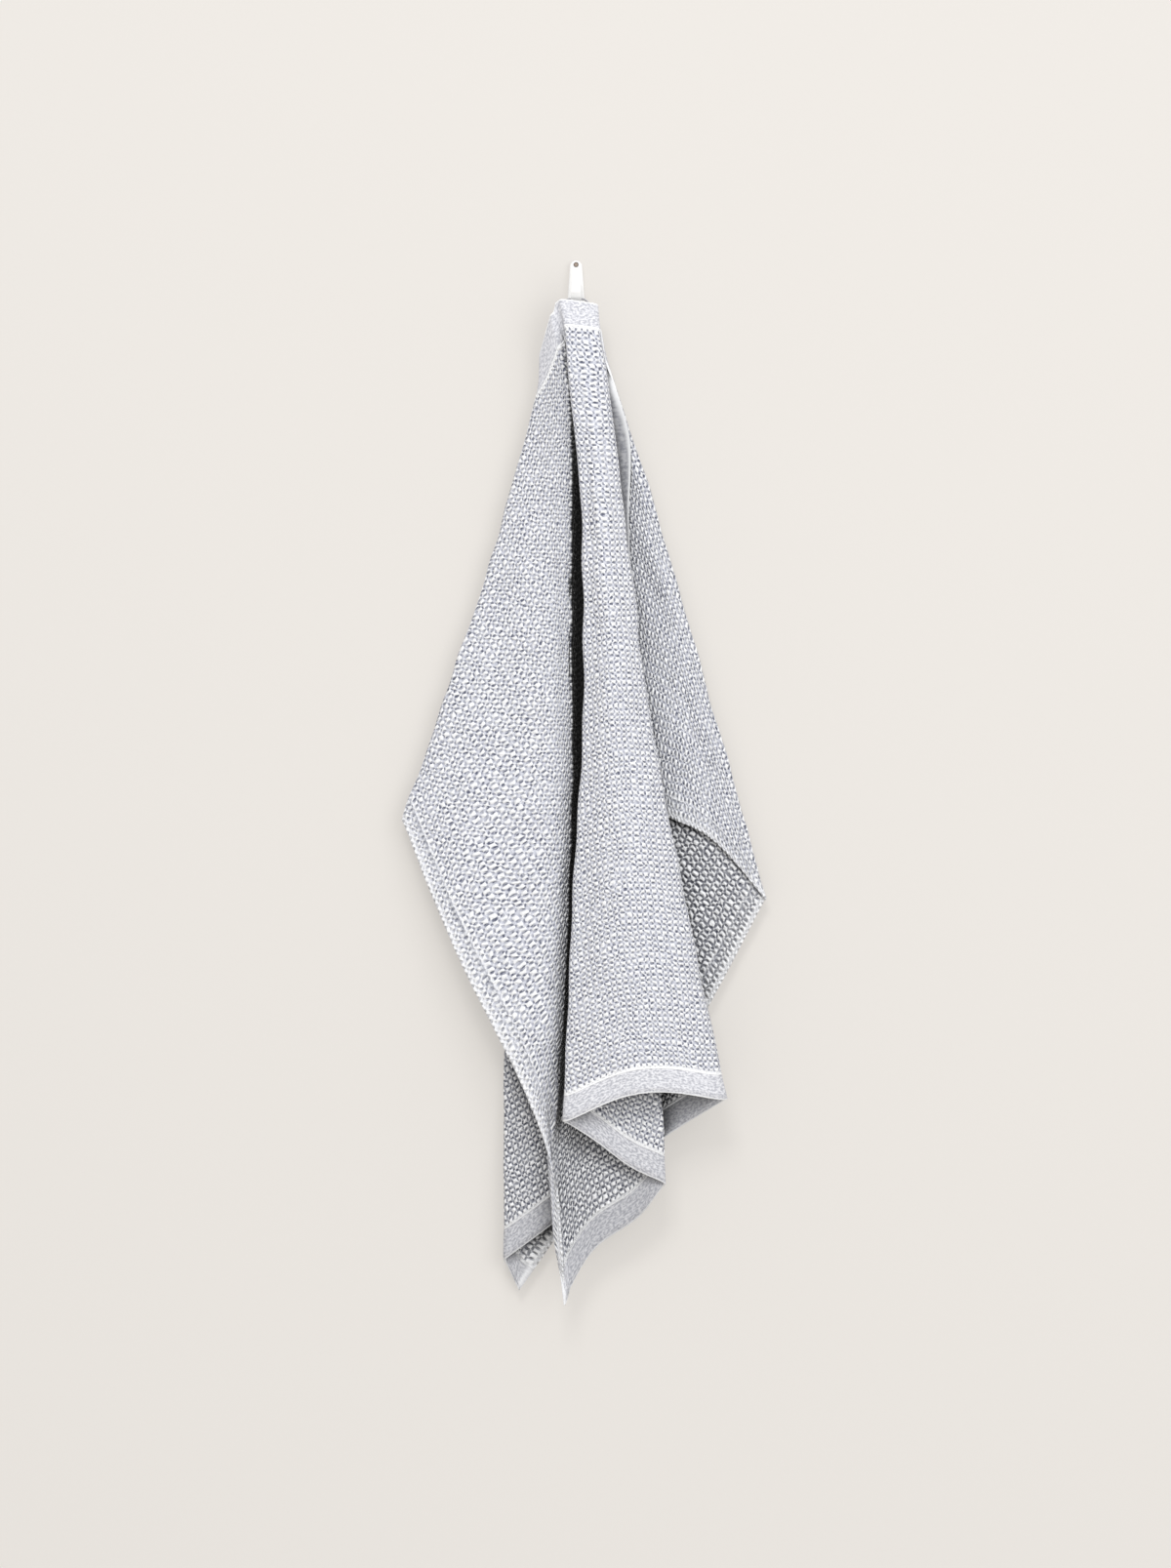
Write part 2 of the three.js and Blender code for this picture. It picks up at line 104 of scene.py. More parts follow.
# The panels between those lines, from left to right.
#   billow: how far the cloth swells forward at a third and two thirds of the way across
#   slip: how far the hem swings across and up from a straight line, at the same two places
#   shade: how far painted shade darkens the weave halfway down and at the hem, from 0 in the open to 1 deep
#       behind others
Panel = namedtuple("Panel", "name billow slip shade")
PANELS = [
    Panel("left back inner", (0, 0), ((0, 0), (0, 0)), (0.3, 0.3)),
    Panel("left back outer", (0, 0), ((0, 0), (0, 0)), (0.3, 0.3)),
    Panel("left", (8, 15), ((6, 4), (42, 0)), (0, 0)),
    Panel("beside the gap", (0, 0), ((0, 0), (0, 0)), (1, 0.2)),
    Panel("left behind the front", (-8, -4), ((-6, 10), (5, -2)), (1, 0.6)),
    Panel("front pleat", (0, 0), ((0, -6), (0, 0)), (0.3, 0.25)),
    Panel("front", (18, 18), ((0, 17), (0, 15)), (0, 0)),
    Panel("back of the front", (-5, -5), ((0, 8), (0, 0)), (0.5, 0.5)),
    Panel("back corner", (0, 0), ((0, 0), (0, 0)), (0.5, 0.5)),
    Panel("back right", (0, 0), ((8, 0), (11, -4)), (0.7, 0.7)),
    Panel("right flap", (0, 0), ((0, 9), (0, -42)), (0, 0)),
    Panel("right flap inner", (0, 0), ((0, 0), (0, 0)), (0.6, 0.3)),
]

FOLD_REACH = 7  # how far a rounded fold reaches into the panels beside it
FOLD_SHARE = 0.33  # the most that it takes of a narrow panel
CORNER_REACH = 1.2
FOLDS_OPEN_AT = 0.1  # share of the way down at which every fold is fully formed
SHUT_REACH = 0.5  # how much of its reach a fold that is still shut is rounded over
BOW_PLACE = 1.4  # over 1 sets a bow's deepest place lower than halfway
CREASES_FULL_AT = 0.35  # share of the way down at which the creases reach their full height
# share of the way down at which the panels' painted shade is at full strength
PAINTED_SHADE_FULL_AT = 0.2
CLOTH_ROWS = 136
ROW_CROWDING = 1.2  # over 1 sets the rows closer together near the hook
STEP_AT_HEM = 6.6  # width of a column of faces at the hem
LEAST_STEPS = 3
FINE_STEPS = 8  # pieces that a span is measured in

# Soft troughs and ridges on the flat cloth, each from its start to its end
Crease = namedtuple("Crease", "name start end half_width height")
CREASES = [
    Crease("left panel, from the shoulder", (-95, 60), (-240, 330), 16, -1.6),
    Crease("left panel, low", (-190, 250), (-290, 560), 20, 1.8),
    Crease("left panel, beside the gap", (-110, 180), (-270, 620), 14, 1.4),
    Crease("front panel, left", (-30, 150), (-62, 600), 14, -1.6),
    Crease("front panel, right", (10, 180), (22, 640), 15, 1.6),
    Crease("right panel, upper", (90, 60), (260, 330), 15, 1.5),
    Crease("right panel, outer", (150, 70), (330, 250), 13, -1.4),
    Crease("back panel", (120, 260), (230, 640), 22, 1.8),
]
CREASE_END_RISE = 3  # over 1 makes the ends of a crease shorter
CREASE_END_HEIGHT = 0.3

# Small waves that run all over a hung cloth, with their lengths across and down
Ripple = namedtuple("Ripple", "across down height phase")
RIPPLES = [
    Ripple(64, 150, 0.5, 0.3),
    Ripple(-41, 95, 0.32, 1.9),
    Ripple(118, -72, 0.4, 4.1),
    Ripple(29, 47, 0.14, 2.6),
]


def smoothstep(x):
    x = np.clip(x, 0, 1)
    return x * x * (3 - 2 * x)


def along_stations(values, r):
    """The value at the heights r of a smooth curve through one value for each station."""
    values = np.array(values, float)
    count = len(STATIONS)
    before = np.maximum(np.arange(count) - 1, 0)
    after = np.minimum(np.arange(count) + 1, count - 1)
    slope = (values[after] - values[before]) / (STATIONS[after] - STATIONS[before])
    i = np.clip(np.searchsorted(STATIONS, r, side="right") - 1, 0, count - 2)
    span = STATIONS[i + 1] - STATIONS[i]
    t = (r - STATIONS[i]) / span
    rise = t * t * (3 - 2 * t)
    leave = t * (1 - t) ** 2 * span * slope[i]
    arrive = t * t * (t - 1) * span * slope[i + 1]
    return values[i] + (values[i + 1] - values[i]) * rise + leave + arrive


def fold_place(fold, r):
    """A fold line at the heights r, one row each: x, y, z, then across and down on the flat cloth."""
    start_across, end_across, end_down = fold.flat
    top, hem = fold.z
    bowed = fold.bow * np.sin(np.pi * r**BOW_PLACE)
    return np.stack(
        [
            along_stations(fold.x, r),
            -along_stations(fold.depth, r),
            top + (hem - top) * r,
            start_across + (end_across - start_across) * r**fold.curve + bowed,
            end_down * r,
        ],
        axis=1,
    )


def set_length(vectors, lengths):
    return vectors * (lengths / np.linalg.norm(vectors, axis=1))[:, None]


def fold_controls(i, places, widths, opened):
    """The control points around one fold line, from left to right."""
    fold, here = FOLDS[i], places[i]
    if fold.kind == "edge":
        return [here]
    is_fold = fold.kind == "fold"
    most_reach = FOLD_REACH if is_fold else CORNER_REACH
    narrower = np.minimum(widths[i - 1], widths[i])
    gap = opened * np.minimum(fold.round, FOLD_SHARE * narrower) if is_fold else 0 * opened

    def beside(neighbour, width, side, share):
        reach = np.minimum(most_reach, FOLD_SHARE * width) * share
        point = here.copy()
        point[:, :3] += set_length(neighbour[:, :3] - here[:, :3], reach)
        point[:, 3:] += set_length(neighbour[:, 3:] - here[:, 3:], reach + gap)
        point[:, 1] -= side * gap
        return point

    def to_left(share):
        return beside(places[i - 1], widths[i - 1], -fold.turn, share)

    def to_right(share):
        return beside(places[i + 1], widths[i], fold.turn, share)

    if not is_fold:
        return [to_left(1), here, to_right(1)]
    shut = SHUT_REACH * (1 - opened)
    return [to_left(1), to_left(shut), to_right(shut), to_right(1)]


def section_controls(r):
    """The control points of the sections across the cloth at the heights r."""
    places = [fold_place(fold, r) for fold in FOLDS]
    widths = [np.linalg.norm(b[:, 3:] - a[:, 3:], axis=1) for a, b in zip(places, places[1:])]
    opened = smoothstep(r / FOLDS_OPEN_AT)
    swell = 1 - (1 - r) ** 3
    ends = [fold_controls(i, places, widths, opened) for i in range(len(FOLDS))]
    controls = list(ends[0])
    for panel, left, right in zip(PANELS, ends, ends[1:]):
        for k, (billow, (slip_x, slip_z)) in enumerate(zip(panel.billow, panel.slip)):
            share = (k + 1) / 3
            point = left[-1] * (1 - share) + right[0] * share
            point[:, 0] += slip_x * r * r
            point[:, 1] -= billow * swell
            point[:, 2] += slip_z * r * r
            controls.append(point)
        controls += right
    return np.array(controls)


def control_painted_shades():
    """The painted shades at the control points of a section: a fold takes the mean of its two panels."""
    shades = [np.array(panel.shade) for panel in PANELS]
    found = [shades[0]]
    for fold, before, after in zip(FOLDS[1:], shades, shades[1:]):
        middles = 2 if fold.kind == "fold" else 1
        found += [before] * 3 + [(before + after) / 2] * middles + [after]
    return np.array(found + [shades[-1]] * 3)


def spline_weights(count, places):
    """The share of each control point in a cubic B-spline at the places, which count spans from the left."""
    weights = np.zeros((len(places), count + 2))
    span = np.minimum(places.astype(int), count - 2)
    t = places - span
    s = 1 - t
    shares = [s**3, 3 * t**3 - 6 * t**2 + 4, 3 * s**3 - 6 * s**2 + 4, t**3]
    rows = np.arange(len(places))
    for k, share in enumerate(shares):
        weights[rows, span + k] += share / 6
    inner = weights[:, 1:-1].copy()
    inner[:, 0] += 2 * weights[:, 0]
    inner[:, 1] -= weights[:, 0]
    inner[:, -1] += 2 * weights[:, -1]
    inner[:, -2] -= weights[:, -1]
    return inner


def section_places():
    """Places along a section for the columns of the cloth, about evenly spaced at the hem."""
    hem = section_controls(np.array([1.0]))[:, 0, :3]
    spans = len(hem) - 1
    fine = np.linspace(0, spans, spans * FINE_STEPS + 1)
    points = spline_weights(len(hem), fine) @ hem
    pieces = np.linalg.norm(np.diff(points, axis=0), axis=1).reshape(spans, FINE_STEPS)
    places = [0.0]
    for i, length in enumerate(pieces.sum(axis=1)):
        steps = max(LEAST_STEPS, round(length / STEP_AT_HEM))
        places += [i + k / steps for k in range(1, steps + 1)]
    return np.array(places)


def crease_height(flat):
    """How far the creases and small waves lift the cloth at places on the flat cloth."""
    height = np.zeros(flat.shape[:-1])
    for crease in CREASES:
        start, end = np.array(crease.start, float), np.array(crease.end, float)
        line = end - start
        t = ((flat - start) @ line) / (line @ line)
        away = np.linalg.norm(flat - start - np.clip(t, 0, 1)[..., None] * line, axis=-1)
        bell = np.exp(-((away / crease.half_width) ** 2))
        ends = smoothstep(np.minimum(t, 1 - t) * CREASE_END_RISE + CREASE_END_HEIGHT)
        height += crease.height * bell * ends
    for ripple in RIPPLES:
        turn = 2 * np.pi * (flat[..., 0] / ripple.across + flat[..., 1] / ripple.down)
        height += ripple.height * np.sin(turn + ripple.phase)
    return height


def draped_cloth():
    """Points of the hung cloth, their places on the flat cloth and their painted shade, each as columns by
    rows.
    """
    r = np.linspace(0, 1, CLOTH_ROWS + 1) ** ROW_CROWDING
    controls = section_controls(r)
    places = section_places()
    weights = spline_weights(len(controls), places)
    grid = np.tensordot(weights, controls, axes=(1, 0))
    # Painted shade of each point, between its panels' values halfway down and at the hem, and none at the
    # top
    halfway, hem = (weights @ control_painted_shades()).T[:, :, None]
    shade = (halfway + (hem - halfway) * smoothstep(2 * r - 1)) * smoothstep(r / PAINTED_SHADE_FULL_AT)
    points, flat = grid[..., :3], grid[..., 3:]
    across = np.gradient(points, axis=0)
    down = np.gradient(points, axis=1)
    normals = np.cross(down, across)
    normals /= np.linalg.norm(normals, axis=-1)[..., None]
    calm = smoothstep(r / CREASES_FULL_AT)[None, :]
    points = points + normals * (crease_height(flat) * calm)[..., None]
    return points * MM, flat, shade


def smooth_mesh(bm, name):
    mesh = bpy.data.meshes.new(name)
    bm.to_mesh(mesh)
    bm.free()
    mesh.polygons.foreach_set("use_smooth", [True] * len(mesh.polygons))
    piece = bpy.data.objects.new(name, mesh)
    bpy.context.scene.collection.objects.link(piece)
    return piece


def sheet_from_grid(name, points, uv_maps):
    """A sheet whose vertices are moved from a flat grid to the given points, with its own UV maps."""
    columns, rows = points.shape[:2]
    bm = bmesh.new()
    bmesh.ops.create_grid(bm, x_segments=columns - 1, y_segments=rows - 1, size=1)
    order = []
    for vert in bm.verts:
        column = round((vert.co.x + 1) / 2 * (columns - 1))
        row = round((1 - vert.co.y) / 2 * (rows - 1))
        order.append((column, row))
        vert.co = Vector(points[column, row])
    piece = smooth_mesh(bm, name)
    mesh = piece.data
    place = np.array(order)
    corners = np.empty(len(mesh.loops), int)
    mesh.loops.foreach_get("vertex_index", corners)
    for map_name, uvs in uv_maps.items():
        by_vertex = uvs[place[:, 0], place[:, 1]]
        layer = mesh.uv_layers.new(name=map_name)
        layer.data.foreach_set("uv", by_vertex[corners].astype(np.float32).ravel())
    return piece


def thicken(piece, thickness):
    wall = piece.modifiers.new("thickness", "SOLIDIFY")
    wall.thickness = thickness
    wall.offset = 0
    wall.use_quality_normals = True


# The sockets of a mix node that take the share and the two colours
MIX_SHARE, MIX_FIRST, MIX_SECOND, MIX_RESULT = 0, 6, 7, 2
OCCLUSION_SAMPLES = 8


class Nodes:
    """Adds nodes to one material and joins them; a link or a plain number may feed any socket."""

    def __init__(self, name):
        self.material = bpy.data.materials.new(name)
        self.material.use_nodes = True
        self.tree = self.material.node_tree
        self.shader = self.tree.nodes["Principled BSDF"]

    def feed(self, socket, value):
        if isinstance(value, bpy.types.NodeSocket):
            self.tree.links.new(value, socket)
        else:
            socket.default_value = value

    def math(self, operation, *values):
        node = self.tree.nodes.new("ShaderNodeMath")
        node.operation = operation
        for socket, value in zip(node.inputs, values):
            self.feed(socket, value)
        return node.outputs[0]

    def between(self, value, low, high, bottom=0.0, top=1.0):
        """Bottom where the value is under low, top where it is over high, and a smooth rise between."""
        node = self.tree.nodes.new("ShaderNodeMapRange")
        node.interpolation_type = "SMOOTHSTEP"
        for socket, given in zip(node.inputs, (value, low, high, bottom, top)):
            self.feed(socket, given)
        return node.outputs[0]

    def mix(self, share, first, second):
        """The first colour where the share is 0, and the second where it is 1."""
        node = self.tree.nodes.new("ShaderNodeMix")
        node.data_type = "RGBA"
        self.feed(node.inputs[MIX_SHARE], share)
        self.feed(node.inputs[MIX_FIRST], first)
        self.feed(node.inputs[MIX_SECOND], second)
        return node.outputs[MIX_RESULT]

    def less(self, value, share):
        """1 where the value is 0, and lower by the share where it is 1."""
        return self.math("MULTIPLY_ADD", value, -share, 1.0)

    def product(self, first, *others):
        for other in others:
            first = self.math("MULTIPLY", first, other)
        return first

    def line(self, value, place, inner, outer):
        """1 within inner of the place, and 0 where it is farther away than outer."""
        away = self.math("ABSOLUTE", self.math("SUBTRACT", value, place))
        return self.between(away, inner, outer, 1.0, 0.0)

    def shaded(self, colour, share):
        """The colour, as dark as black where the share is 0."""
        return self.mix(share, BLACK, colour)

    def noise(self, vector, scale, detail=2.0, colour=False):
        node = self.tree.nodes.new("ShaderNodeTexNoise")
        self.feed(node.inputs["Vector"], vector)
        node.inputs["Scale"].default_value = scale
        node.inputs["Detail"].default_value = detail
        return node.outputs["Color" if colour else "Fac"]

    def vector(self, operation, *values):
        node = self.tree.nodes.new("ShaderNodeVectorMath")
        node.operation = operation
        for socket, value in zip(node.inputs, values):
            self.feed(socket, value)
        return node.outputs[0]

    def scaled(self, vector, scale):
        node = self.tree.nodes.new("ShaderNodeMapping")
        self.feed(node.inputs["Vector"], vector)
        node.inputs["Scale"].default_value = scale
        return node.outputs[0]

    def split(self, vector):
        node = self.tree.nodes.new("ShaderNodeSeparateXYZ")
        self.feed(node.inputs[0], vector)
        return node.outputs[0], node.outputs[1]

    def map_place(self, uv_map):
        node = self.tree.nodes.new("ShaderNodeUVMap")
        node.uv_map = uv_map
        return node.outputs[0]

    def object_place(self):
        return self.tree.nodes.new("ShaderNodeTexCoord").outputs["Object"]

    def openness(self, distance):
        """1 on open cloth, towards 0 deep in a fold."""
        node = self.tree.nodes.new("ShaderNodeAmbientOcclusion")
        node.samples = OCCLUSION_SAMPLES
        node.inputs["Distance"].default_value = distance
        return node.outputs["AO"]

    def cell_random(self, vector):
        node = self.tree.nodes.new("ShaderNodeTexWhiteNoise")
        node.noise_dimensions = "2D"
        self.feed(node.inputs["Vector"], vector)
        return node.outputs["Value"]

    def wave(self, value):
        """0 to 1 and back once for each unit of the value, with its peak at whole numbers."""
        turned = self.math("COSINE", self.math("MULTIPLY", value, 2 * np.pi))
        return self.math("MULTIPLY_ADD", turned, 0.5, 0.5)

    def finish(self, colour, roughness, height, relief):
        """The material, with its colour and roughness and with the height raised by the relief."""
        self.feed(self.shader.inputs["Base Color"], colour)
        self.feed(self.shader.inputs["Roughness"], roughness)
        bump = self.tree.nodes.new("ShaderNodeBump")
        bump.inputs["Strength"].default_value = 1.0
        bump.inputs["Distance"].default_value = relief
        self.feed(bump.inputs["Height"], height)
        self.feed(self.shader.inputs["Normal"], bump.outputs[0])
        return self.material


# How far the rows of the weave wander and each knot is off its place, in cells
WEAVE_WANDER = (0.9, 0.9, 0)
KNOT_JITTER = (0.45, 0.45, 0)
# Grains of yarn across and down the whole cloth, on the smooth bands
BAND_GRAINS = (240, 420, 1)


def raised_weave(n, cells):
    """A square weave with a raised knot in each cell: the shares of knots and of pits, which are painted
    dark as shade, and the height.
    """
    wander = n.vector("SUBTRACT", n.noise(cells, scale=0.4, detail=1.0, colour=True), HALF_GREY)
    jitter = n.vector("SUBTRACT", n.noise(cells, scale=1.3, detail=1.0, colour=True), HALF_GREY)
    uneven = n.vector("MULTIPLY_ADD", wander, WEAVE_WANDER, cells)
    uneven = n.vector("MULTIPLY_ADD", jitter, KNOT_JITTER, uneven)
    across, down = n.split(uneven)
    on_warp, on_weft = n.wave(across), n.wave(down)
    off_warp, off_weft = n.math("SUBTRACT", 1.0, on_warp), n.math("SUBTRACT", 1.0, on_weft)
    large = n.product(n.math("POWER", on_warp, 0.6), on_weft)
    thread = n.noise(cells, scale=2.6, detail=3.0)
    small_share = n.between(thread, 0.3, 0.7, top=0.6)
    knot = n.math("MULTIPLY_ADD", n.product(off_warp, off_weft), small_share, large)
    pit = n.math("MULTIPLY_ADD", on_warp, off_weft, n.product(off_warp, on_weft))
    pit = n.math("MULTIPLY_ADD", off_weft, 0.3, pit)
    own = n.cell_random(n.vector("FLOOR", n.scaled(uneven, (2, 2, 1))))
    knots = n.product(n.between(knot, 0.22, 0.52), n.between(own, 0.0, 0.6, bottom=0.8))
    pits = n.product(n.between(pit, 0.4, 0.95), n.between(own, 0.2, 1.0, bottom=0.3))
    height = n.math("SUBTRACT", knot, n.product(pit, 0.6))
    return knots, pits, n.math("MULTIPLY_ADD", thread, 0.25, height)


# Shares of the colour left by the painted shade, for the ground, the knots, the bands and their lines
Light = namedtuple("Light", "ground knots bands lines")


def painted_shade_in_folds(n, reach):
    """The painted shade on each part of the cloth: the share of its colour left in its folds and behind
    other layers.
    """
    openness = n.openness(reach)
    behind, _ = n.split(n.map_place("painted_panel_shade"))
    out_of_gap = n.between(behind, 0.72, 0.98, bottom=1.0, top=0.03)
    in_folds = n.product(n.between(openness, 0.2, 0.8, bottom=0.03), out_of_gap)
    on_knots = n.product(n.between(openness, 0.1, 0.55, bottom=0.05), out_of_gap)
    knots = n.product(on_knots, n.less(behind, 0.1))
    return Light(
        ground=n.product(in_folds, n.less(behind, 0.85)),
        knots=knots,
        bands=n.product(in_folds, n.less(behind, 0.5)),
        lines=n.product(knots, n.less(behind, 0.45)),
    )


def add_end_bands(n, settings, place, from_end, light, colour, height):
    """Smooth grained bands along both ends of the cloth, each between two bright lines, darkened by painted
    shade in the folds.
    """
    width = settings.band_width / MM
    band = n.between(from_end, width - 0.5, width + 0.5, bottom=1.0, top=0.0)
    grain = n.noise(n.scaled(place, BAND_GRAINS), scale=1.0)
    yarn = n.mix(n.between(grain, 0.35, 0.65), settings.band_shade, settings.band_colour)
    edge = n.between(from_end, 0.4, 1.6, bottom=1.0, top=0.0)
    lines = n.math("MINIMUM", n.math("ADD", edge, n.line(from_end, width, 0.8, 2.0)), 1.0)
    colour = n.mix(band, colour, n.shaded(yarn, light.bands))
    colour = n.mix(lines, colour, n.shaded(settings.knot_colour, light.lines))
    band_height = n.math("ADD", n.product(grain, 0.4), 0.3)
    woven_height = n.product(height, n.math("SUBTRACT", 1.0, band))
    height = n.math("ADD", woven_height, n.product(band_height, band))
    return colour, n.math("MULTIPLY_ADD", lines, 0.5, height)


def add_side_hems(n, settings, cells, from_side, along, light, colour, height):
    """Hems turned along both sides: a bright rim, a patchy row of stitches and a groove beside it, painted
    dark as shade.
    """
    width = settings.hem_width / MM
    white = n.shaded(settings.knot_colour, light.knots)
    patchy = n.between(n.noise(cells, scale=0.12), 0.4, 0.65, bottom=0.2, top=0.7)
    hem = n.between(from_side, width - 1, width + 1, bottom=1.0, top=0.0)
    colour = n.mix(n.product(hem, 0.12), colour, white)
    stitches = n.between(n.wave(n.math("DIVIDE", along, settings.stitch_length / MM)), 0.2, 0.6, bottom=0.5)
    seam = n.line(from_side, width, 0.4, 1.5)
    colour = n.mix(n.product(seam, patchy, stitches), colour, white)
    rim = n.between(from_side, 2.5, 5.0, bottom=1.0, top=0.0)
    colour = n.mix(n.product(rim, 0.5), colour, settings.knot_colour)
    # Painted shade in the groove beside the stitches
    groove = n.line(from_side, width - settings.groove_inset / MM, 0.6, 1.9)
    colour = n.mix(n.product(groove, patchy, 0.6), colour, settings.painted_pit_shade)
    height = n.math("MULTIPLY_ADD", hem, 0.6, height)
    return colour, n.math("SUBTRACT", height, n.product(groove, 0.5))


def towel_cotton(settings):
    """Raised square weave, smooth end bands and stitched side hems, with painted shade in the pits, in the
    folds and on layers behind others.
    """
    n = Nodes("towel_cotton")
    side = settings.side / MM
    place = n.map_place("flat_cloth")
    cell_count = settings.side / settings.weave_pitch
    cells = n.scaled(place, (cell_count, cell_count, 1))
    across, down = n.split(n.scaled(place, (side, side, 1)))
    from_end = n.math("MINIMUM", down, n.math("SUBTRACT", side, down))
    from_side = n.math("MINIMUM", across, n.math("SUBTRACT", side, across))
    # Painted shade of the folds and of the layers that lie behind others
    light = painted_shade_in_folds(n, settings.painted_shade_reach)
    knots, pits, height = raised_weave(n, cells)
    # The cotton between the knots, painted darker as shade, and darkest in the pits; knots and ground also
    # take the painted shade of the folds
    ground = n.mix(pits, settings.ground_colour_and_shade, settings.painted_pit_shade)
    white = n.shaded(settings.knot_colour, light.knots)
    colour = n.mix(knots, n.shaded(ground, light.ground), white)
    colour, height = add_end_bands(n, settings, place, from_end, light, colour, height)
    colour, height = add_side_hems(n, settings, cells, from_side, down, light, colour, height)
    n.shader.inputs["Sheen Weight"].default_value = 0.15
    n.shader.inputs["Sheen Roughness"].default_value = 0.5
    n.shader.inputs["Specular IOR Level"].default_value = 0.2
    return n.finish(colour, roughness=0.95, height=height, relief=settings.weave_relief)


RIBS_PER_METRE = 900


def tape_cotton(settings):
    """Light grey twill tape: fine slanted ribs, painted darker as shade where the ribs and the fuzz lie low.
    """
    n = Nodes("tape_cotton")
    place = n.object_place()
    across, up = n.split(n.scaled(place, (RIBS_PER_METRE, RIBS_PER_METRE, 1)))
    rib = n.wave(n.math("ADD", across, up))
    fuzz = n.noise(place, scale=900)
    # Painted shade in the grooves between the ribs
    colour = n.mix(n.product(rib, fuzz), settings.tape_shade, settings.tape_colour)
    return n.finish(colour, roughness=0.9, height=n.math("ADD", rib, fuzz), relief=0.0002)


def hook_paint(settings):
    """Satin white paint with a faint unevenness."""
    n = Nodes("hook_paint")
    place = n.object_place()
    cloud = n.noise(place, scale=60, detail=3.0)
    colour = n.mix(cloud, settings.paint_shade, settings.paint_colour)
    roughness = n.between(cloud, 0.2, 0.8, bottom=0.3, top=0.42)
    n.shader.inputs["Coat Weight"].default_value = 0.25
    return n.finish(colour, roughness, height=n.noise(place, scale=500), relief=0.00004)


def screw_steel(settings):
    """Dull brownish steel with fine turning marks."""
    n = Nodes("screw_steel")
    place = n.object_place()
    marks = n.noise(n.scaled(place, (400, 400, 2600)), scale=1.0)
    colour = n.mix(marks, settings.screw_shade, settings.screw_colour)
    n.shader.inputs["Metallic"].default_value = 0.9
    roughness = n.between(marks, 0.3, 0.7, bottom=0.35, top=0.55)
    return n.finish(colour, roughness, height=marks, relief=0.00005)


def dress(piece, material):
    piece.data.materials.clear()
    piece.data.materials.append(material)


def length_value(name, description, default):
    return bpy.props.FloatProperty(
        name=name, description=description, default=default, unit="LENGTH", precision=4
    )


def plain_value(name, description, default):
    return bpy.props.FloatProperty(name=name, description=description, default=default)


def colour_value(name, description, default):
    return bpy.props.FloatVectorProperty(
        name=name, description=description, default=default, subtype="COLOR", size=4, min=0, max=1
    )


class ClothSettings(bpy.types.PropertyGroup):
    side: length_value("Side", "Side of the square cloth before it is hung", SIDE * MM)
    thickness: length_value("Thickness", "Thickness of the cloth with its raised weave", 0.002)
    weave_pitch: length_value("Weave pitch", "Distance between two raised knots of the weave", 0.00515)
    weave_relief: length_value("Weave relief", "How far the knots stand out", 0.0011)
    # Painted shade: how near another layer must be for the cloth to be painted darker in a fold
    painted_shade_reach: length_value("Shade reach", "How near another layer darkens the cloth in a fold", 0.06)
    band_width: length_value("Band width", "Width of the smooth band at both ends", 0.023)
    hem_width: length_value("Hem width", "Width of the stitched hem at both sides", 0.0135)
    stitch_length: length_value("Stitch length", "Length of one stitch of the side hems", 0.004)
    groove_inset: length_value("Groove inset", "From the stitches to the groove beside them", 0.0022)
    knot_colour: colour_value("Knot colour", "The raised white cotton", (0.95, 0.965, 0.99, 1))
    # The white cotton between the knots, darkened by painted shade because it lies lower
    ground_colour_and_shade: colour_value("Ground colour", "The cotton between the knots", (0.60, 0.62, 0.70, 1))
    # Painted shade deep in the weave's pits, blue-grey
    painted_pit_shade: colour_value("Pit colour", "The blue-grey yarn deep in the weave", (0.09, 0.10, 0.155, 1))
    band_colour: colour_value("Band colour", "The light yarn of the end bands", (0.76, 0.77, 0.81, 1))
    band_shade: colour_value("Band shade", "The darker grain of the end bands", (0.44, 0.45, 0.50, 1))


class HookSettings(bpy.types.PropertyGroup):
    tape_colour: colour_value("Tape colour", "The light ribs of the hanging tape", (0.72, 0.72, 0.76, 1))
    # Painted shade in the grooves between the tape's ribs
    tape_shade: colour_value("Tape shade", "The grooves between the ribs", (0.38, 0.38, 0.42, 1))
    paint_colour: colour_value("Paint colour", "The white paint of the hook", (0.80, 0.80, 0.80, 1))
    paint_shade: colour_value("Paint shade", "Where the paint is a little thinner", (0.76, 0.76, 0.755, 1))
    screw_colour: colour_value("Screw colour", "The steel of the screw's head", (0.40, 0.33, 0.28, 1))
    screw_shade: colour_value("Screw shade", "The turning marks on the screw's head", (0.16, 0.12, 0.10, 1))


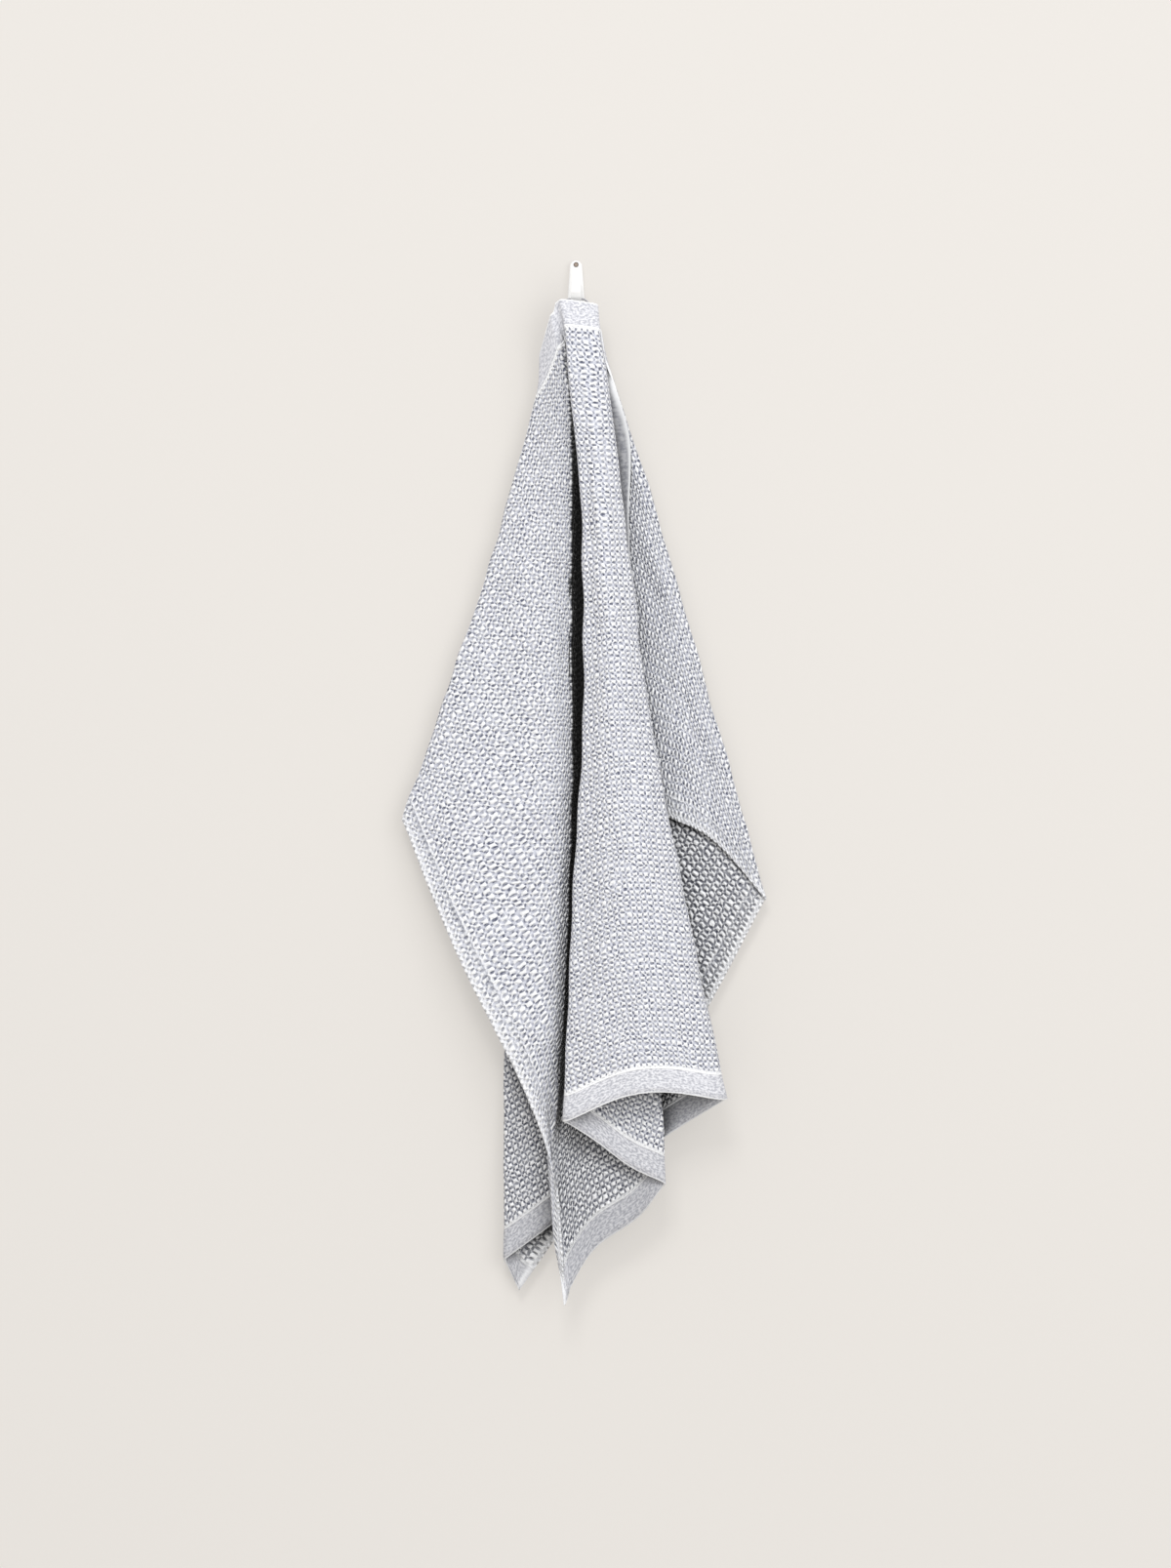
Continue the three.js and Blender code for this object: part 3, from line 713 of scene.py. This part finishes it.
class StageSettings(bpy.types.PropertyGroup):
    wall_colour: colour_value("Wall colour", "The plain warm wall behind the towel", (0.30, 0.288, 0.275, 1))
    wall_shade: colour_value("Wall shade", "Where the wall is a little dimmer", (0.2955, 0.2837, 0.2709, 1))
    glow_colour: colour_value("Glow colour", "What evens out shadows on the wall", (0.83, 0.80, 0.76, 1))
    wall_glow: plain_value("Wall glow", "How strongly the wall is evened out", 0.54)
    room_light: plain_value("Room light", "Strength of the light from all around", 0.70)
    wall_gap: length_value("Wall gap", "From the hook's flat back to the wall's paint", 0.0008)
    half_width: length_value("Half width", "Half the width of the wall and the floor", 4.0)
    wall_top: length_value("Wall top", "Top of the wall, above the hook's seat", 3.0)
    floor_front: length_value("Floor front", "How far the floor comes into the room", 5.0)
    floor_back: length_value("Floor back", "How far the floor runs on under the wall", 1.5)
    middle_depth: length_value("Middle depth", "Middle of the cloth, in front of the wall", 0.025)
    camera_distance: length_value("Camera distance", "From the camera to the middle of the cloth", 6.0)
    frame_height: length_value("Frame height", "Height that the picture covers at the cloth", 1.318)
    middle_x: length_value("Middle across", "The picture's middle, to the right of the hook", 0.008)
    middle_z: length_value("Middle height", "The picture's middle, above the hook's seat", -0.405)
    floor_height: length_value("Floor height", "The floor, below the hook's seat", -1.25)


class OBJECT_OT_hang_towel(bpy.types.Operator):
    """Hang the woven cloth in its folds"""

    bl_idname = "object.hang_towel"
    bl_label = "Hang the towel"

    def execute(self, context):
        settings = context.scene.towel_cloth
        points, flat, shade = draped_cloth()
        side = settings.side / MM
        uvs = np.stack([flat[..., 0] / side + 0.5, 1 - flat[..., 1] / side], axis=-1)
        # The painted shade reaches the material as a second UV map
        shades = np.stack([shade, shade], axis=-1)
        towel = sheet_from_grid("towel_cloth", points, {"flat_cloth": uvs, "painted_panel_shade": shades})
        thicken(towel, settings.thickness)
        dress(towel, towel_cotton(settings))
        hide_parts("towel")
        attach(towel, BODY)
        return {"FINISHED"}


class OBJECT_OT_fit_hanging_tape(bpy.types.Operator):
    """Dress the tape that carries the towel on the hook"""

    bl_idname = "object.fit_hanging_tape"
    bl_label = "Fit the hanging tape"

    def execute(self, context):
        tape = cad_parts["hanging_tape"]
        dress(tape, tape_cotton(context.scene.towel_hook))
        return {"FINISHED"}


class OBJECT_OT_finish_hook(bpy.types.Operator):
    """Paint the hook and finish its screw"""

    bl_idname = "object.finish_hook"
    bl_label = "Finish the hook"

    def execute(self, context):
        settings = context.scene.towel_hook
        dress(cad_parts["hook"], hook_paint(settings))
        dress(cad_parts["screw"], screw_steel(settings))
        return {"FINISHED"}


def plain_plane(name, corners, material):
    bm = bmesh.new()
    bm.faces.new([bm.verts.new(corner) for corner in corners])
    plane = smooth_mesh(bm, name)
    plane.data.materials.append(material)


def wall_paint(settings):
    """Matt paint that lets views from behind the wall look through it."""
    n = Nodes("wall_paint")
    place = n.object_place()
    colour = n.mix(n.noise(place, scale=1.5), settings.wall_shade, settings.wall_colour)
    material = n.finish(colour, roughness=0.9, height=n.noise(place, scale=400), relief=0.00005)
    n.shader.inputs["Emission Color"].default_value = settings.glow_colour
    n.shader.inputs["Emission Strength"].default_value = settings.wall_glow
    clear = n.tree.nodes.new("ShaderNodeBsdfTransparent")
    behind = n.tree.nodes.new("ShaderNodeNewGeometry").outputs["Backfacing"]
    mixed = n.tree.nodes.new("ShaderNodeMixShader")
    n.feed(mixed.inputs[0], behind)
    n.feed(mixed.inputs[1], n.shader.outputs[0])
    n.feed(mixed.inputs[2], clear.outputs[0])
    n.feed(n.tree.nodes["Material Output"].inputs["Surface"], mixed.outputs[0])
    return material


Lamp = namedtuple("Lamp", "name place size power colour")
LAMPS = [
    Lamp("key", (-0.35, -2.6, 1.6), 1.0, 42, (1.0, 0.99, 0.975)),
    Lamp("fill", (1.9, -3.0, 0.3), 2.4, 45, (0.97, 0.985, 1.0)),
]


def soft_light(lamp, target):
    light = bpy.data.lights.new(lamp.name, "AREA")
    light.shape = "SQUARE"
    light.size = lamp.size
    light.energy = lamp.power
    light.color = lamp.colour
    holder = bpy.data.objects.new(lamp.name, light)
    holder.location = lamp.place
    holder.rotation_euler = (Vector(target) - Vector(lamp.place)).to_track_quat("-Z", "Y").to_euler()
    bpy.context.scene.collection.objects.link(holder)


class OBJECT_OT_set_towel_stage(bpy.types.Operator):
    """Set the wall, the floor, the lights and the camera"""

    bl_idname = "object.set_towel_stage"
    bl_label = "Set the stage"

    def execute(self, context):
        settings = context.scene.towel_stage
        paint = wall_paint(settings)
        left, right, floor = -settings.half_width, settings.half_width, settings.floor_height
        wall, top = settings.wall_gap, settings.wall_top
        front, back = -settings.floor_front, settings.floor_back
        plain_plane(
            "wall", [(left, wall, floor), (right, wall, floor), (right, wall, top), (left, wall, top)], paint
        )
        plain_plane(
            "floor",
            [(left, front, floor), (right, front, floor), (right, back, floor), (left, back, floor)],
            paint,
        )
        middle = (settings.middle_x, -settings.middle_depth, settings.middle_z)
        for lamp in LAMPS:
            soft_light(lamp, middle)
        world = bpy.data.worlds.new("studio")
        world.use_nodes = True
        world.node_tree.nodes["Background"].inputs["Color"].default_value = (1, 0.99, 0.98, 1)
        world.node_tree.nodes["Background"].inputs["Strength"].default_value = settings.room_light
        context.scene.world = world
        context.scene.view_settings.view_transform = "Standard"
        lens = bpy.data.cameras.new("camera")
        lens.lens = lens.sensor_width * settings.camera_distance / settings.frame_height
        camera = bpy.data.objects.new("camera", lens)
        camera.location = Vector(middle) - Vector((0, settings.camera_distance, 0))
        camera.rotation_euler = (np.pi / 2, 0, 0)
        context.scene.collection.objects.link(camera)
        context.scene.camera = camera
        return {"FINISHED"}


class VIEW3D_PT_towel(bpy.types.Panel):
    bl_label = "Towel on a hook"
    bl_idname = "VIEW3D_PT_towel"
    bl_space_type = "VIEW_3D"
    bl_region_type = "UI"
    bl_category = "Towel"

    def draw(self, context):
        for operator in OPERATORS:
            self.layout.operator(operator.bl_idname)


SETTINGS = {"towel_cloth": ClothSettings, "towel_hook": HookSettings, "towel_stage": StageSettings}
OPERATORS = (
    OBJECT_OT_hang_towel,
    OBJECT_OT_fit_hanging_tape,
    OBJECT_OT_finish_hook,
    OBJECT_OT_set_towel_stage,
)
CLASSES = (*SETTINGS.values(), *OPERATORS, VIEW3D_PT_towel)


def register():
    for cls in CLASSES:
        bpy.utils.register_class(cls)
    for name, group in SETTINGS.items():
        setattr(bpy.types.Scene, name, bpy.props.PointerProperty(type=group))


def unregister():
    for name in SETTINGS:
        delattr(bpy.types.Scene, name)
    for cls in reversed(CLASSES):
        bpy.utils.unregister_class(cls)


def main():
    register()
    bpy.ops.object.hang_towel()
    bpy.ops.object.fit_hanging_tape()
    bpy.ops.object.finish_hook()
    bpy.ops.object.set_towel_stage()


if __name__ == "__main__":
    main()
